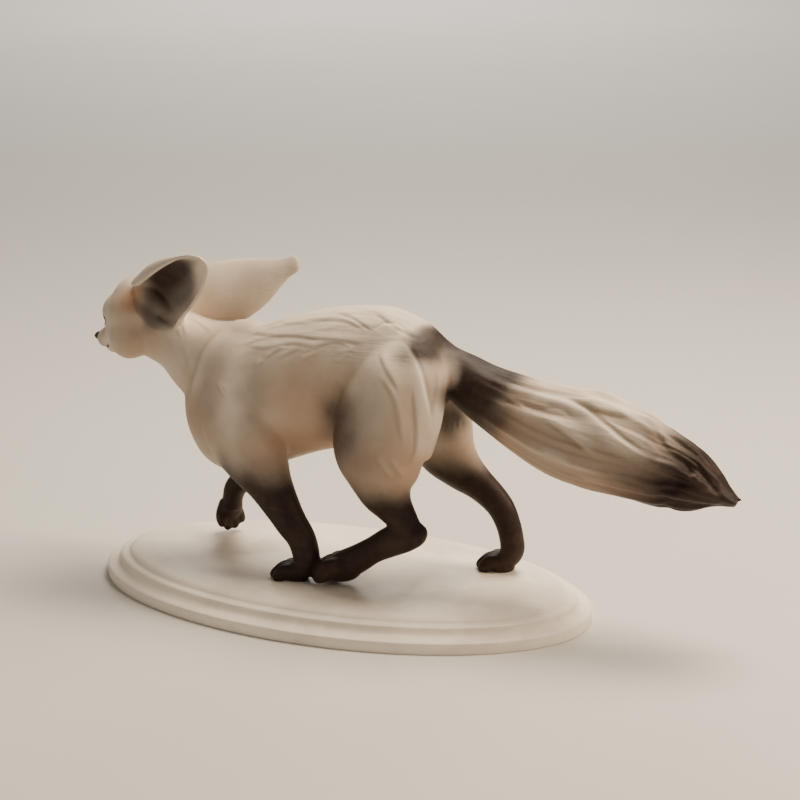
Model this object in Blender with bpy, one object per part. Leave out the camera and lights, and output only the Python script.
"""A trotting fennec fox, life-size, modelled as a statue on a stepped oval plinth.

The fox faces -X, its left side is -Y and +Z is up. The origin is the middle of the plinth's
underside. Sizes are written in millimetres and turned into metres by MM.
"""

import math

import bmesh
import bpy
import numpy as np
from mathutils import Matrix, Vector

MM = 0.001

# Driving dimensions of the plinth
PLINTH_HALF_LENGTH = 255.0
PLINTH_HALF_WIDTH = 141.5
PLINTH_SIDES = 56
# inset from the outline and height, from the floor to the rim of the modelled ground
PLINTH_PROFILE = (
    (0.0, 0.0),
    (0.0, 11.2),
    (0.8, 12.0),
    (9.5, 13.6),
    (12.0, 15.2),
    (13.6, 18.0),
    (14.2, 21.4),
    (15.2, 22.2),
    (22.5, 22.6),
    (24.0, 24.5),
    (28.0, 26.8),
)
# share of the way from the ground's rim to the middle
GROUND_RINGS = (0.12, 0.30, 0.52, 0.76)
GROUND_LEVEL = 28.0

# Fusing and parting of the body
FUSE_VOXEL = 1.6
BODY_TRIANGLES = 7850
HEAD_CARE = 0.0009
GAP = 0.3

# The trunk and tail. A row is x, y, top, bottom and half width.
TORSO = (
    (-165, 0, 199, 171, 12),
    (-157, 0, 214, 144, 27),
    (-141, 0, 230, 121, 38),
    (-115, 0, 248, 112, 46),
    (-85, 0, 264, 117, 51),
    (-55, 0, 275, 131, 53),
    (-20, 0, 286, 145, 53),
    (10, 0, 292, 153, 50),
    (40, 0, 295, 156, 46),
    (65, 0, 292, 165, 43),
    (85, 0, 284, 180, 38),
    (102, 0, 272, 197, 30),
    (116, 0, 258, 214, 19),
    (124, 0, 247, 226, 8),
)
TAIL = (
    (92, 0, 270, 236, 18),
    (106, 0, 267, 223, 21),
    (120, 0, 261, 209, 24),
    (135, 0, 256, 197, 27),
    (155, 0, 249, 184, 30),
    (180, 0, 243, 169, 35),
    (205, 0, 238, 156, 39),
    (232, 0, 235, 146, 42),
    (258, 0, 232, 140, 43),
    (284, 0, 225, 137, 41),
    (305, 0, 218, 134, 38),
    (322, 0, 208, 132, 33),
    (336, 0, 199.5, 134, 28),
    (350, 0, 189, 134.5, 23),
    (364, 0, 178, 137, 17.5),
    (376, 0, 167.5, 139.5, 13),
    (386, 0, 157.5, 140, 9),
    (392.5, 0, 150.5, 140.5, 5.5),
)
# Pointed locks that leave the end of the tail. A row is the angle round the tail, and where the
# lock starts and ends along X; zero degrees is its right side and ninety its top.
TAIL_LOCKS = (
    (88, 318, 372, 6.0),
    (60, 330, 384, 5.5),
    (122, 326, 381, 5.5),
    (20, 322, 376, 6.0),
    (160, 318, 374, 6.0),
    (205, 326, 382, 6.0),
    (335, 328, 385, 6.0),
    (238, 330, 372, 5.0),
    (272, 326, 367, 6.3),
    (306, 332, 386, 5.5),
    (0, 348, 398, 5.0),
    (180, 346, 397, 5.0),
)

# The neck and legs. A row is x, y, z, half depth fore and aft, and half width across.
NECK = (
    (-90, 0, 204, 62, 46),
    (-122, 1, 214, 52, 39),
    (-150, 3, 224, 43, 33),
    (-178, 7, 238.5, 33.5, 31),
    (-206, 10, 246.5, 29.5, 31),
)
NEAR_FORELEG = (
    (-114, -10, 232, 20, 10),
    (-108, -22, 214, 34, 18),
    (-98, -32, 190, 42, 20),
    (-85, -40, 163, 41, 21),
    (-67, -46, 139, 34, 19.5),
    (-53, -50, 119, 24, 17),
    (-39, -51, 97, 18.5, 14.5),
    (-30, -52, 84, 16.5, 13),
    (-21, -52, 72, 15, 12),
    (-16, -52, 59, 14, 12),
    (-15, -52, 47, 13, 12.5),
    (-20, -52, 37, 11, 13),
)
NEAR_HINDLEG = (
    (94, -8, 268, 18, 9),
    (88, -22, 257, 32, 17),
    (81, -34, 237, 43, 24),
    (74, -42, 212, 49, 27),
    (66, -45, 188, 51, 28),
    (61, -46, 165, 48, 26),
    (64, -47, 143, 38, 23),
    (68, -47, 126, 28, 19),
    (75, -47, 114, 20, 15),
    (83, -47, 104, 16, 12.5),
    (90, -47, 95, 13, 11),
    (94, -47, 89, 9, 10),
)
NEAR_METATARSUS = (
    (106, -47, 95, 6, 8),
    (99, -47, 90, 12, 10),
    (87, -47, 85, 15, 11),
    (72, -47, 78, 15, 11.5),
    (54, -47, 67, 13, 11.5),
    (38, -47, 56, 14, 12.5),
    (26, -47, 49, 14.5, 14),
    (17, -47, 45, 13, 14),
)
FAR_HINDLEG = (
    (92, 8, 264, 18, 9),
    (88, 22, 250, 30, 16),
    (83, 35, 226, 38, 23),
    (79, 42, 198, 39, 24),
    (82, 44, 170, 38, 22),
    (92, 46, 145, 32, 20),
    (108, 47, 127, 23, 17),
    (125, 48, 114, 17, 14.5),
    (139, 48, 103, 15, 12.5),
    (149, 48, 92, 14, 11.5),
    (156, 48, 77, 12.5, 11),
    (160, 48, 62, 12, 11),
    (161, 48, 50, 12, 12),
    (156, 48, 39, 10.5, 13),
)
FAR_FORELEG = (
    (-112, 8, 222, 22, 10),
    (-108, 24, 200, 36, 18),
    (-104, 34, 170, 37, 20),
    (-104, 38, 144, 28, 18),
    (-110, 40, 121, 20, 15),
    (-120, 40, 102, 15, 13),
    (-131, 40, 88, 12.5, 12),
    (-139, 40, 77, 11.5, 11),
    (-142, 40, 66, 10.5, 10.5),
    (-143, 40, 57, 11, 12),
)

# The head in its own frame: the nose points to -X and the origin is the middle of the skull.
HEAD_CENTRE = (-228, 10, 256)
HEAD_TURN = 17.0
HEAD_DIP = 11.0
HEAD_ROLL = -8.0
MUZZLE = (
    (-6, 0, -8, 23, 27),
    (-20, 0, -12, 20, 24),
    (-32, 0, -15.3, 15.3, 17.5),
    (-43, 0, -17, 11.8, 12.5),
    (-51, 0, -19, 10.3, 10.4),
    (-56, 0, -19.8, 7.6, 7.8),
    (-58.5, 0, -20, 4, 4.2),
)
JAW = (
    (-4, 0, -27, 11, 20),
    (-22, 0, -27, 9, 14),
    (-34, 0, -28, 7.2, 10.5),
    (-42, 0, -29, 5, 7.5),
    (-47, 0, -29.5, 2.3, 4),
)
# The line of the mouth, x and z
LIPS = ((-70, -29.8), (-60, -29.5), (-52, -29.2), (-45, -28.7), (-39, -27.6), (-34, -25.6))
EYE_CENTRE = (-22.6, 15.2, -2.4)
EYE_RADIUS = 7.2
LID_THICKNESS = 1.6
EYE_OPENING = (6.4, 4.4)
NOSE_CENTRE = (-60.0, 0.0, -15.8)
NOSE_RADII = (5.2, 6.2, 4.4)

# The ears. A row is share of the length, half width, cup depth, how far round its upper and its
# lower edge curl, how far its middle hangs below the straight line to the tip, and how far it is
# turned about its own axis to bring the opening down.
NEAR_EAR = (
    (-0.13, 17, 9, 70, 112, 22, 24),
    (0.00, 29, 14, 82, 120, 17, 26),
    (0.12, 31, 18, 104, 110, 11.5, 28),
    (0.27, 28.8, 19, 122, 98, 6.8, 30),
    (0.44, 27.5, 17, 126, 88, 4, 30),
    (0.61, 23.8, 13, 120, 80, 2.5, 30),
    (0.74, 19.3, 9.5, 108, 74, 1.8, 30),
    (0.84, 15, 6.5, 90, 70, 1.2, 30),
    (0.92, 11, 4.5, 80, 66, 0.8, 30),
    (0.97, 6.5, 3, 70, 62, 0.5, 30),
    (1.00, 2, 1.5, 62, 60, 0.5, 30),
)
FAR_EAR = (
    (-0.12, 15, 9, 110, 106, -3, 0),
    (0.00, 20, 13.5, 116, 108, 0, 0),
    (0.10, 24, 18, 126, 104, 2, 0),
    (0.24, 28, 20, 122, 94, 6, 0),
    (0.40, 32, 18, 114, 84, 10, 0),
    (0.56, 30.5, 14, 106, 76, 11, 0),
    (0.72, 23.5, 10, 98, 70, 9, 0),
    (0.84, 14.5, 6, 88, 66, 4.5, 0),
    (0.91, 10, 4, 76, 62, 1, 0),
    (0.955, 9, 3.2, 70, 60, -0.5, 0),
    (1.00, 2, 1, 60, 60, -1, 0),
)
# side, root in the head's frame, way that the ear points, length and rows
EARS = {
    "ear_left": (-1, (28, -20, 17), (0.92, -0.34, 0.20), 160.0, NEAR_EAR),
    "ear_right": (1, (23, 21, 18), (0.92, 0.34, 0.17), 149.0, FAR_EAR),
}
EAR_FACING = (-0.10, 0.97, -0.15)
EAR_THICKNESS = 3.6
EAR_TURNS = 10
# The bowl inside the root of an ear: the shares of its length where it starts and ends, and how
# far it stays inside the cup
BOWL_START = -0.01
BOWL_END = 0.42
BOWL_RINGS = 7
BOWL_LINING = 1.3
# Where the fused body is parted. A polygon is in the side view, x and z; then the range of y.
PARTS = (
    ("hindfoot_left", -90, -12,
     ((-8, 8), (-7.5, 31), (3.5, 57), (10, 76), (30, 110), (112, 146), (130, 110), (130, 8))),
    ("thigh_left", -90, -12,
     ((6, 142), (24, 170), (118, 205), (134, 190), (134, 142), (111, 145), (30, 109))),
    ("foreleg_left", -90, -12,
     ((-150, 112), (-50, 156), (-25, 128), (-25, 112), (4, 80), (3, 57), (-8, 31), (-8, 8),
      (-100, 8), (-100, 60))),
    ("hindfoot_right", 12, 90,
     ((62, 104), (126, 164), (195, 130), (195, 8), (105, 8), (105, 60))),
    ("thigh_right", 12, 90,
     ((36, 148), (58, 176), (122, 204), (150, 190), (150, 186), (125, 163), (61, 103))),
    ("foreleg_right", 12, 90,
     ((-175, 100), (-128, 124), (-66, 150), (-60, 110), (-100, 60), (-110, 8), (-180, 8))),
    ("tail_tip", -80, 80, ((304, 100), (340, 260), (440, 260), (440, 100))),
    ("tail_middle", -80, 80, ((190, 100), (226, 270), (342, 270), (304, 100))),
    ("tail_base", -80, 80, ((136, 150), (125, 300), (234, 300), (190, 100))),
    ("head", -90, 110, ((-176, 310), (-208, 200), (-320, 200), (-320, 310))),
    ("neck", -90, 110, ((-98, 310), (-180, 158), (-230, 158), (-230, 310))),
)

CREAM = (0.66, 0.60, 0.52)
BROWN = (0.055, 0.038, 0.034)
# colour, roughness
FINISHES = {
    "plinth": ((0.80, 0.74, 0.66), 0.60),
    "torso": (CREAM, 0.62),
    "neck": (CREAM, 0.62),
    "head": ((0.68, 0.62, 0.55), 0.60),
    "ear_left": ((0.60, 0.54, 0.47), 0.60),
    "ear_right": ((0.60, 0.54, 0.47), 0.60),
    "eye_left": ((0.012, 0.009, 0.008), 0.12),
    "eye_right": ((0.012, 0.009, 0.008), 0.12),
    "nose": ((0.016, 0.014, 0.014), 0.30),
    "foreleg_left": (BROWN, 0.55),
    "foreleg_right": (BROWN, 0.55),
    "thigh_left": (CREAM, 0.62),
    "thigh_right": (CREAM, 0.62),
    "hindfoot_left": (BROWN, 0.55),
    "hindfoot_right": (BROWN, 0.55),
    "tail_base": ((0.10, 0.072, 0.062), 0.58),
    "tail_middle": (CREAM, 0.62),
    "tail_tip": (BROWN, 0.58),
}


def eased_rows(rows, steps):
    """The rows with steps spans between each two, on a smooth curve through them."""
    rows = np.array(rows, float)
    ends = np.vstack([2 * rows[0] - rows[1], rows, 2 * rows[-1] - rows[-2]])
    out = []
    for i in range(1, len(ends) - 2):
        before, here, after, beyond = ends[i - 1 : i + 3]
        for k in range(steps):
            t = k / steps
            out.append(
                0.5
                * (
                    2 * here
                    + (after - before) * t
                    + (2 * before - 5 * here + 4 * after - beyond) * t**2
                    + (3 * here - before - 3 * after + beyond) * t**3
                )
            )
    out.append(rows[-1])
    return np.array(out)


def face_outwards(made):
    edit = bmesh.new()
    edit.from_mesh(made.data)
    bmesh.ops.recalc_face_normals(edit, faces=edit.faces)
    edit.to_mesh(made.data)
    edit.free()
    return made


def mesh_object(name, points, faces):
    """A new closed object in the scene with these points, in metres, and faces."""
    mesh = bpy.data.meshes.new(name)
    mesh.from_pydata([tuple(p) for p in points], [], [tuple(f) for f in faces])
    made = bpy.data.objects.new(name, mesh)
    bpy.context.scene.collection.objects.link(made)
    return face_outwards(made)


def skin_rings(name, rings):
    """A closed tube through rings of points, each end closed by a fan to its middle."""
    rings = np.array(rings, float)
    count, sides = rings.shape[:2]
    points = list(rings.reshape(-1, 3)) + [rings[0].mean(0), rings[-1].mean(0)]
    first, last = count * sides, count * sides + 1
    faces = []
    for i in range(count - 1):
        for j in range(sides):
            k = (j + 1) % sides
            faces.append((i * sides + j, i * sides + k, (i + 1) * sides + k, (i + 1) * sides + j))
    for j in range(sides):
        k = (j + 1) % sides
        faces.append((first, k, j))
        faces.append((last, (count - 1) * sides + j, (count - 1) * sides + k))
    return mesh_object(name, points, faces)


def around(sides):
    return np.linspace(0, 2 * np.pi, sides, endpoint=False)


def trunk(name, rows, sides=36, steps=4):
    """A body along X. A row is x, y, top, bottom and half width, in millimetres."""
    rings = []
    turn = around(sides)
    for x, y, top, bottom, half_width in eased_rows(rows, steps):
        middle, half_height = (top + bottom) / 2, max((top - bottom) / 2, 0.5)
        across = y + max(half_width, 0.5) * np.cos(turn)
        rings.append(np.stack([np.full(sides, x), across, middle + half_height * np.sin(turn)], 1))
    return skin_rings(name, np.array(rings) * MM)


def limb(name, rows, sides=20, steps=4, across=(0, 1, 0)):
    """A bent limb. A row is x, y, z, half depth fore and aft, and half width across."""
    rows = eased_rows(rows, steps)
    centres = rows[:, :3]
    along = np.gradient(centres, axis=0)
    along /= np.linalg.norm(along, axis=1)[:, None]
    rings = []
    turn = around(sides)[:, None]
    for centre, way, (depth, width) in zip(centres, along, rows[:, 3:5]):
        wide = np.array(across, float) - np.dot(across, way) * way
        wide /= np.linalg.norm(wide)
        deep = np.cross(wide, way)
        ring = max(depth, 0.3) * np.cos(turn) * deep + max(width, 0.3) * np.sin(turn) * wide
        rings.append(centre + ring)
    return skin_rings(name, np.array(rings) * MM)


def lump(name, centre, radii, segments=20):
    """A muscle or pad: an ellipsoid."""
    bpy.ops.mesh.primitive_uv_sphere_add(
        segments=segments, ring_count=segments // 2 + 2, radius=1.0
    )
    made = bpy.context.object
    made.name = name
    size = Matrix.Diagonal((*(r * MM for r in radii), 1.0))
    made.data.transform(Matrix.Translation(Vector(centre) * MM) @ size)
    return made


def prism(name, polygon, low_y, high_y, out=0.0):
    """A polygon in the side view, drawn across from low_y to high_y and grown by out."""
    corners = np.array(polygon, float)
    turning = np.sum(corners[:, 0] * np.roll(corners[:, 1], -1))
    turning -= np.sum(corners[:, 1] * np.roll(corners[:, 0], -1))
    edges = np.roll(corners, -1, 0) - corners
    edges /= np.linalg.norm(edges, axis=1)[:, None]
    outward = np.stack([edges[:, 1], -edges[:, 0]], 1) * np.sign(turning)
    before = np.roll(outward, 1, 0)
    mitre = (outward + before) / (1 + np.sum(outward * before, 1))[:, None]
    corners = corners + out * mitre
    count = len(corners)
    points = [(x, y, z) for y in (low_y - out, high_y + out) for x, z in corners]
    faces = [tuple(range(count)), tuple(range(2 * count - 1, count - 1, -1))]
    faces += [(i, (i + 1) % count, count + (i + 1) % count, count + i) for i in range(count)]
    return mesh_object(name, np.array(points) * MM, faces)


def apply_modifiers(made):
    bpy.ops.object.select_all(action="DESELECT")
    made.select_set(True)
    bpy.context.view_layer.objects.active = made
    for modifier in list(made.modifiers):
        bpy.ops.object.modifier_apply(modifier=modifier.name)


def copy_of(made, name):
    twin = bpy.data.objects.new(name, made.data.copy())
    bpy.context.scene.collection.objects.link(twin)
    return twin


def boolean(made, tool, operation):
    step = made.modifiers.new(operation.lower(), "BOOLEAN")
    step.operation = operation
    step.solver = "EXACT"
    step.object = tool
    apply_modifiers(made)


def keep_largest(made):
    """Leaves only the closed surface that holds the most volume."""
    edit = bmesh.new()
    edit.from_mesh(made.data)
    left = set(edit.faces)
    islands = []
    while left:
        found = [left.pop()]
        for face in found:
            for edge in face.edges:
                if len(edge.link_faces) != 2:
                    continue
                for other in edge.link_faces:
                    if other in left:
                        left.discard(other)
                        found.append(other)
        islands.append(found)

    def volume(island):
        total = 0.0
        for face in island:
            corners = [v.co for v in face.verts]
            for i in range(1, len(corners) - 1):
                total += corners[0].dot(corners[i].cross(corners[i + 1]))
        return total

    islands.sort(key=volume, reverse=True)
    spare = [face for island in islands[1:] for face in island]
    bmesh.ops.delete(edit, geom=spare, context="FACES")
    edit.to_mesh(made.data)
    edit.free()


def vertex_array(made, kind="co"):
    out = np.empty(len(made.data.vertices) * 3, np.float32)
    if kind == "co":
        made.data.vertices.foreach_get("co", out)
    else:
        made.data.vertex_normals.foreach_get("vector", out)
    return out.reshape(-1, 3).astype(float)


def move_vertices(made, points):
    made.data.vertices.foreach_set("co", points.astype(np.float32).reshape(-1))
    made.data.update()


def grow(made, amount):
    """Moves the surface out along its normals, in millimetres."""
    move_vertices(made, vertex_array(made) + vertex_array(made, "normal") * amount * MM)


def ground_height(x, y):
    """The gently uneven modelled ground, in millimetres."""
    wave = 0.9 * np.sin(x / 47 + 0.6) * np.cos(y / 38 - 0.4) + 0.5 * np.sin(x / 23 - y / 31 + 1.9)
    return GROUND_LEVEL + wave


def plinth():
    rings = []
    turn = around(PLINTH_SIDES)
    for inset, height in PLINTH_PROFILE:
        x = (PLINTH_HALF_LENGTH - inset) * np.cos(turn)
        y = (PLINTH_HALF_WIDTH - inset) * np.sin(turn)
        rings.append(np.stack([x, y, np.full(PLINTH_SIDES, height)], 1))
    rim = rings[-1]
    for share in GROUND_RINGS:
        x, y = rim[:, 0] * (1 - share), rim[:, 1] * (1 - share)
        rings.append(np.stack([x, y, ground_height(x, y)], 1))
    return skin_rings("plinth", np.array(rings) * MM)


def head_place():
    """Turns the head's own frame into the fox's: roll, dip of the nose, then the turn."""
    return (
        Matrix.Translation(Vector(HEAD_CENTRE) * MM)
        @ Matrix.Rotation(math.radians(-HEAD_TURN), 4, "Z")
        @ Matrix.Rotation(math.radians(-HEAD_DIP), 4, "Y")
        @ Matrix.Rotation(math.radians(HEAD_ROLL), 4, "X")
    )


def eye_centre(side):
    return (EYE_CENTRE[0], side * EYE_CENTRE[1], EYE_CENTRE[2])


def eye_opening(side):
    """The almond between the lids of one eye, as a tool that reaches in to the eyeball."""
    out = Vector((-0.70, side * 0.68, 0.20)).normalized()
    along = Vector((0.62, side * 0.66, 0.26))
    along = (along - along.dot(out) * out).normalized()
    over = out.cross(along)
    tool = lump("opening", (0, 0, 0), (EYE_OPENING[0], EYE_OPENING[1], 6.5), 16)
    turned = Matrix((along, over, out)).transposed().to_4x4()
    centre = Vector(eye_centre(side)) + out * (EYE_RADIUS + 3.0)
    tool.data.transform(head_place() @ Matrix.Translation(centre * MM) @ turned)
    return tool


def head_pieces():
    pieces = [
        lump("skull", (4, 0, 4), (38, 33, 33)),
        lump("crown", (0, 0, 13.5), (28, 26, 29)),
        lump("brow", (-20, 0, 7.5), (20, 25, 21.5)),
        lump("face", (-11.5, 0, -9), (19, 25, 19.5)),
        limb("muzzle", MUZZLE),
        limb("jaw", JAW),
    ]
    for side in (-1, 1):
        pieces.append(lump("cheek", (4, side * 16.5, -19), (25.5, 17.5, 22)))
        pieces.append(lump("lids", eye_centre(side), [EYE_RADIUS + LID_THICKNESS] * 3))
    for piece in pieces:
        piece.data.transform(head_place())
    return pieces


def ear_frame(side, way, twist):
    """The directions of one ear: along it, out of its opening, and across it downwards."""
    axis = Vector(way).normalized()
    facing = Vector((EAR_FACING[0], side * EAR_FACING[1], EAR_FACING[2]))
    facing = (facing - facing.dot(axis) * axis).normalized()
    across = axis.cross(facing) * -side
    lean = math.radians(twist)
    return (
        axis,
        facing * math.cos(lean) + across * math.sin(lean),
        across * math.cos(lean) - facing * math.sin(lean),
    )


def ear_bowl(side, root, way, length, rows):
    """The tool that clears the inside of the ear's cup where it opens from the head."""
    rows = eased_rows(rows, 8)
    wall = EAR_THICKNESS / 2 + BOWL_LINING
    rings = []
    for share in np.linspace(BOWL_START, BOWL_END, BOWL_RINGS):
        row = [np.interp(share, rows[:, 0], rows[:, k]) for k in range(1, 7)]
        half_width, cup, upper, lower, hang, twist = row
        axis, facing, across = ear_frame(side, way, twist)
        full = 0.4 if share == BOWL_START else 1.0
        middle = Vector(root) + axis * (share * length) + across * hang
        turns = [math.radians(-upper + (upper + lower) * k / 12) for k in range(13)]
        arc = [
            across * ((half_width - wall) * math.sin(turn)) - facing * ((cup - wall) * math.cos(turn))
            for turn in turns
        ]
        mouth = [arc[-1].lerp(arc[0], k / 5) + facing * 2.5 for k in range(1, 5)]
        loop = arc + mouth
        heart = sum(loop, Vector()) / len(loop)
        rings.append([np.array(middle + heart + (p - heart) * full) for p in loop])
    tool = skin_rings("bowl", np.array(rings) * MM)
    tool.data.transform(head_place())
    return face_outwards(tool)


def ear_shell(name, side, root, way, length, rows):
    """One ear, a cupped leaf with its back to the crown, as a closed shell with round rims."""
    root = Vector(root)
    turns = EAR_TURNS
    loops = []
    for share, half_width, cup, upper, lower, hang, twist in eased_rows(rows, 2):
        axis, facing, across = ear_frame(side, way, twist)
        middle = root + axis * (share * length) + across * hang
        half = min(EAR_THICKNESS, 0.8 * half_width) / 2

        def spot(turn, out):
            return (
                middle
                + across * ((half_width + out) * math.sin(turn))
                - facing * ((cup + out) * math.cos(turn))
            )

        start, end = -math.radians(upper), math.radians(lower)
        sweep = [start + (end - start) * k / (turns - 1) for k in range(turns)]
        loop = [spot(turn, half) for turn in sweep]
        loop.append(spot(end + half / half_width, 0))
        loop += [spot(turn, -half) for turn in reversed(sweep)]
        loop.append(spot(start - half / half_width, 0))
        loops.append(loop)
    count = 2 * turns + 2
    points = [p * MM for loop in loops for p in loop]
    faces = []
    for i in range(len(loops) - 1):
        for k in range(count):
            after = (k + 1) % count
            near, far = i * count, (i + 1) * count
            faces.append((near + k, near + after, far + after, far + k))
    for start in (0, (len(loops) - 1) * count):
        for k in range(turns - 1):
            mate = 2 * turns - k
            faces.append((start + k, start + k + 1, start + mate - 1, start + mate))
        faces.append((start + turns - 1, start + turns, start + turns + 1))
        faces.append((start, start + 2 * turns, start + 2 * turns + 1))
    made = mesh_object(name, points, faces)
    made.data.transform(head_place())
    return made


def paw(name, ball, heading, dip=0.0, size=1.0):
    """Four toes that fan from the ball of a foot; heading turns them about Z, dip points down."""
    pieces = []
    place = (
        Matrix.Translation(Vector(ball) * MM)
        @ Matrix.Rotation(math.radians(heading), 4, "Z")
        @ Matrix.Rotation(math.radians(-dip), 4, "Y")
        @ Matrix.Scale(size, 4)
    )
    toes = ((-9.6, 12, -2.5), (-3.5, 17, -0.8), (3.5, 17, 0.8), (9.6, 12, 2.5))
    for i, (y, reach, splay) in enumerate(toes):
        rows = (
            (9, y * 0.7, 4.5, 6.5, 4.6),
            (-1, y * 0.92, 5.0, 7.0, 4.9),
            (-reach * 0.55, y + splay * 0.4, 3.5, 7.2, 5.1),
            (-reach, y + splay * 0.8, -0.5, 5.8, 4.8),
            (-reach - 4.5, y + splay, -3.0, 2.6, 2.9),
        )
        pieces.append(limb(f"{name}_toe_{i}", rows, sides=12, steps=2))
        claw = (
            (-reach - 2.0, y + splay, 0.4, 1.8, 1.6),
            (-reach - 5.5, y + splay, -1.2, 1.4, 1.3),
            (-reach - 7.5, y + splay, -3.2, 0.8, 0.8),
        )
        pieces.append(limb(f"{name}_claw_{i}", claw, sides=8, steps=2))
    pieces.append(lump(f"{name}_pad", (2, 0, -1), (13, 11.5, 7)))
    for piece in pieces:
        piece.data.transform(place)
    return pieces


def tail_section(x):
    rows = np.array(TAIL, float)
    return [np.interp(x, rows[:, 0], rows[:, k]) for k in (2, 3, 4)]


def tail_locks():
    pieces = []
    for angle, start, end, thick in TAIL_LOCKS:
        turn = math.radians(angle)
        rows = []
        for share, girth in ((0.0, 0.6), (0.3, 1.0), (0.6, 0.8), (0.85, 0.45), (1.0, 0.12)):
            x = start + share * (end - start)
            top, bottom, half_width = tail_section(x)
            reach = 0.92 + 0.10 * share
            y = half_width * math.cos(turn) * reach
            z = (top + bottom) / 2 + (top - bottom) / 2 * math.sin(turn) * reach
            rows.append((x, y, z, thick * girth, thick * girth * 1.2))
        pieces.append(limb("lock", rows, sides=10, steps=3))
    return pieces


def flesh_pieces():
    """Everything of the body that is fused into one: trunk, limbs, head and feet."""
    pieces = [
        trunk("torso", TORSO),
        trunk("tail", TAIL),
        lump("withers", (-99, 0, 252), (30, 18, 17)),
        limb("neck", NECK, sides=28),
        limb("near_foreleg", NEAR_FORELEG),
        limb("near_hindleg", NEAR_HINDLEG),
        limb("near_metatarsus", NEAR_METATARSUS),
        limb("far_hindleg", FAR_HINDLEG),
        limb("far_foreleg", FAR_FORELEG),
    ]
    pieces += head_pieces()
    pieces += tail_locks()
    pieces += paw("near_fore", (-28, -52, 33), 6, size=1.05)
    pieces += paw("near_hind", (20, -47, 41.5), 2, dip=8, size=1.35)
    pieces += paw("far_hind", (148, 49, 33), 0, size=1.05)
    pieces += paw("far_fore", (-143, 40, 54), -30, dip=80)
    return pieces


def joined(pieces, name):
    bpy.ops.object.select_all(action="DESELECT")
    for piece in pieces:
        piece.select_set(True)
    bpy.context.view_layer.objects.active = pieces[0]
    bpy.ops.object.join()
    made = bpy.context.object
    made.name = name
    return made


def bump(value, low, high):
    """Rises smoothly from 0 at low to 1 at high."""
    t = np.clip((value - low) / (high - low), 0, 1)
    return t * t * (3 - 2 * t)


def soften_trunk(body):
    """Blends the limbs into the trunk, and leaves the face and the feet as they are."""
    points = vertex_array(body) / MM
    away = np.linalg.norm(points - np.array(HEAD_CENTRE), axis=1)
    weight = 0.75 + 0.25 * bump(away, 42, 70)
    for fine in (eye_centre(-1), eye_centre(1), (MUZZLE[-1][0] + 6, 0, -16)):
        spot = np.array(head_place() @ (Vector(fine) * MM)) / MM
        weight *= bump(np.linalg.norm(points - spot, axis=1), 6, 20)
    weight *= bump(points[:, 2], 70, 130) * (1 - bump(points[:, 0], 300, 330))
    group = body.vertex_groups.new(name="trunk")
    for level in range(1, 11):
        chosen = np.nonzero(np.round(weight * 10) == level)[0]
        group.add([int(i) for i in chosen], level / 10, "REPLACE")
    smooth = body.modifiers.new("blend", "SMOOTH")
    smooth.factor = 0.6
    smooth.iterations = 36
    smooth.vertex_group = "trunk"
    apply_modifiers(body)
    body.vertex_groups.clear()


def tail_ridges(points):
    """How far the tail's long locks stand out, in millimetres, at points in millimetres."""
    x, y, z = points.T
    rows = np.array(TAIL, float)
    middle = np.interp(x, rows[:, 0], (rows[:, 2] + rows[:, 3]) / 2)
    height = np.interp(x, rows[:, 0], (rows[:, 2] - rows[:, 3]) / 2)
    width = np.interp(x, rows[:, 0], rows[:, 4])
    turn = np.arctan2((z - middle) / height, y / width)
    drift = (x - 130) / 300
    wave = np.sin(9 * turn + 5 * drift + 0.9 * np.sin(7 * drift + 2 * turn))
    wave += 0.45 * np.sin(14 * turn - 6 * drift + 1.3)
    return (1.5 * wave - 1.2) * bump(x, 132, 200) * (1 - bump(x, 345, 378))


def thin_out(body):
    """Leaves BODY_TRIANGLES in the body, closer together on the head than elsewhere."""
    away = np.linalg.norm(vertex_array(body) / MM - np.array(HEAD_CENTRE) - (-12, 0, -8), axis=1)
    group = body.vertex_groups.new(name="thin")
    level = np.round(8 * (1 - bump(away, 30, 60)))
    for step in range(9):
        chosen = np.nonzero(level == step)[0]
        group.add([int(i) for i in chosen], 1 - HEAD_CARE * step / 8, "REPLACE")
    thin = body.modifiers.new("thin", "DECIMATE")
    triangles = sum(len(face.vertices) - 2 for face in body.data.polygons)
    thin.ratio = BODY_TRIANGLES / triangles
    thin.vertex_group = "thin"
    apply_modifiers(body)
    body.vertex_groups.clear()


def fused_body():
    body = joined(flesh_pieces(), "torso")
    fuse = body.modifiers.new("fuse", "REMESH")
    fuse.mode = "VOXEL"
    fuse.voxel_size = FUSE_VOXEL * MM
    smooth = body.modifiers.new("soften", "SMOOTH")
    smooth.factor = 0.5
    smooth.iterations = 4
    apply_modifiers(body)
    soften_trunk(body)
    points = vertex_array(body)
    raised = tail_ridges(points / MM)[:, None] * MM
    move_vertices(body, points + vertex_array(body, "normal") * raised)
    keep_largest(body)
    thin_out(body)
    return body


def remove(made):
    bpy.data.objects.remove(made)


def cut(made, tool):
    """Takes the tool out of the made object and drops the tool."""
    boolean(made, tool, "DIFFERENCE")
    remove(tool)


def ball(name, centre, radii, segments=14):
    made = lump(name, centre, radii, segments)
    made.data.transform(head_place())
    return made


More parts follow.
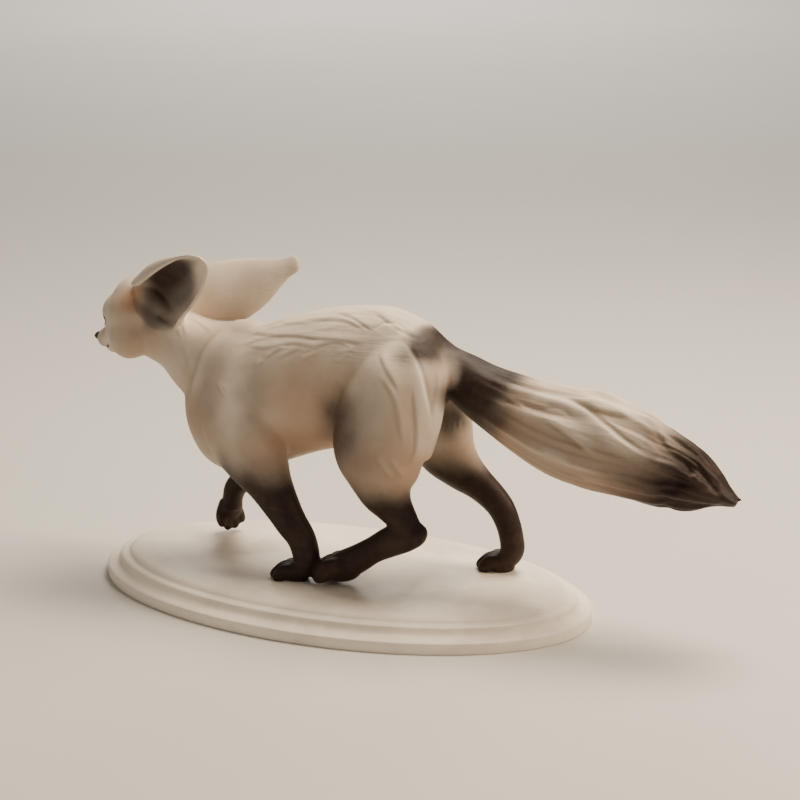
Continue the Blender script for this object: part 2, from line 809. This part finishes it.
def mouth_tool(body):
    """A thin bent plate along the lips, only as deep as the mouth line."""
    polygon = [(x, z + 0.55) for x, z in LIPS] + [(x, z - 0.55) for x, z in reversed(LIPS)]
    plate = prism("mouth", polygon, -24, 24)
    plate.data.transform(head_place())
    core = copy_of(body, "core")
    grow(core, -1.4)
    cut(plate, core)
    return plate


def carve_face(body):
    cut(body, mouth_tool(body))
    for name, side in (("eye_left", -1), ("eye_right", 1)):
        cut(body, eye_opening(side))
        cut(body, ball("socket", eye_centre(side), [EYE_RADIUS + GAP] * 3))
        ball(name, eye_centre(side), [EYE_RADIUS] * 3)
    cut(body, ball("socket", NOSE_CENTRE, [r + GAP for r in NOSE_RADII]))
    nose = ball("nose", NOSE_CENTRE, NOSE_RADII)
    for side in (-1, 1):
        spot = (NOSE_CENTRE[0] - 3.9, side * 2.0, NOSE_CENTRE[2] - 0.6)
        cut(nose, ball("nostril", spot, (1.6, 0.9, 0.8), 8))


def part_body(body):
    for name, low_y, high_y, polygon in PARTS:
        piece = copy_of(body, name)
        zone = prism("zone", polygon, low_y, high_y)
        boolean(piece, zone, "INTERSECT")
        remove(zone)
        keep_largest(piece)
        cut(body, prism("zone", polygon, low_y, high_y, GAP))
        keep_largest(body)


def paint(made):
    colour, roughness = FINISHES[made.name]
    finish = bpy.data.materials.new(made.name)
    finish.use_nodes = True
    shader = finish.node_tree.nodes["Principled BSDF"]
    shader.inputs["Base Color"].default_value = (*colour, 1.0)
    shader.inputs["Roughness"].default_value = roughness
    shader.inputs["Metallic"].default_value = 0.0
    made.data.materials.clear()
    made.data.materials.append(finish)
    made.data.shade_smooth()


def main():
    for old in list(bpy.data.objects):
        bpy.data.objects.remove(old)
    base = plinth()
    body = fused_body()
    raised = copy_of(base, "raised")
    raised.data.transform(Matrix.Translation((0, 0, GAP * MM)))
    cut(body, raised)
    keep_largest(body)
    for row in EARS.values():
        cut(body, ear_bowl(*row))
    skin = copy_of(body, "skin")
    grow(skin, GAP)
    for name, row in EARS.items():
        ear = ear_shell(name, *row)
        boolean(ear, skin, "DIFFERENCE")
        keep_largest(ear)
    remove(skin)
    carve_face(body)
    part_body(body)
    for made in bpy.context.scene.objects:
        paint(made)
    base.data.set_sharp_from_angle(angle=math.radians(35))


if __name__ == "__main__":
    main()
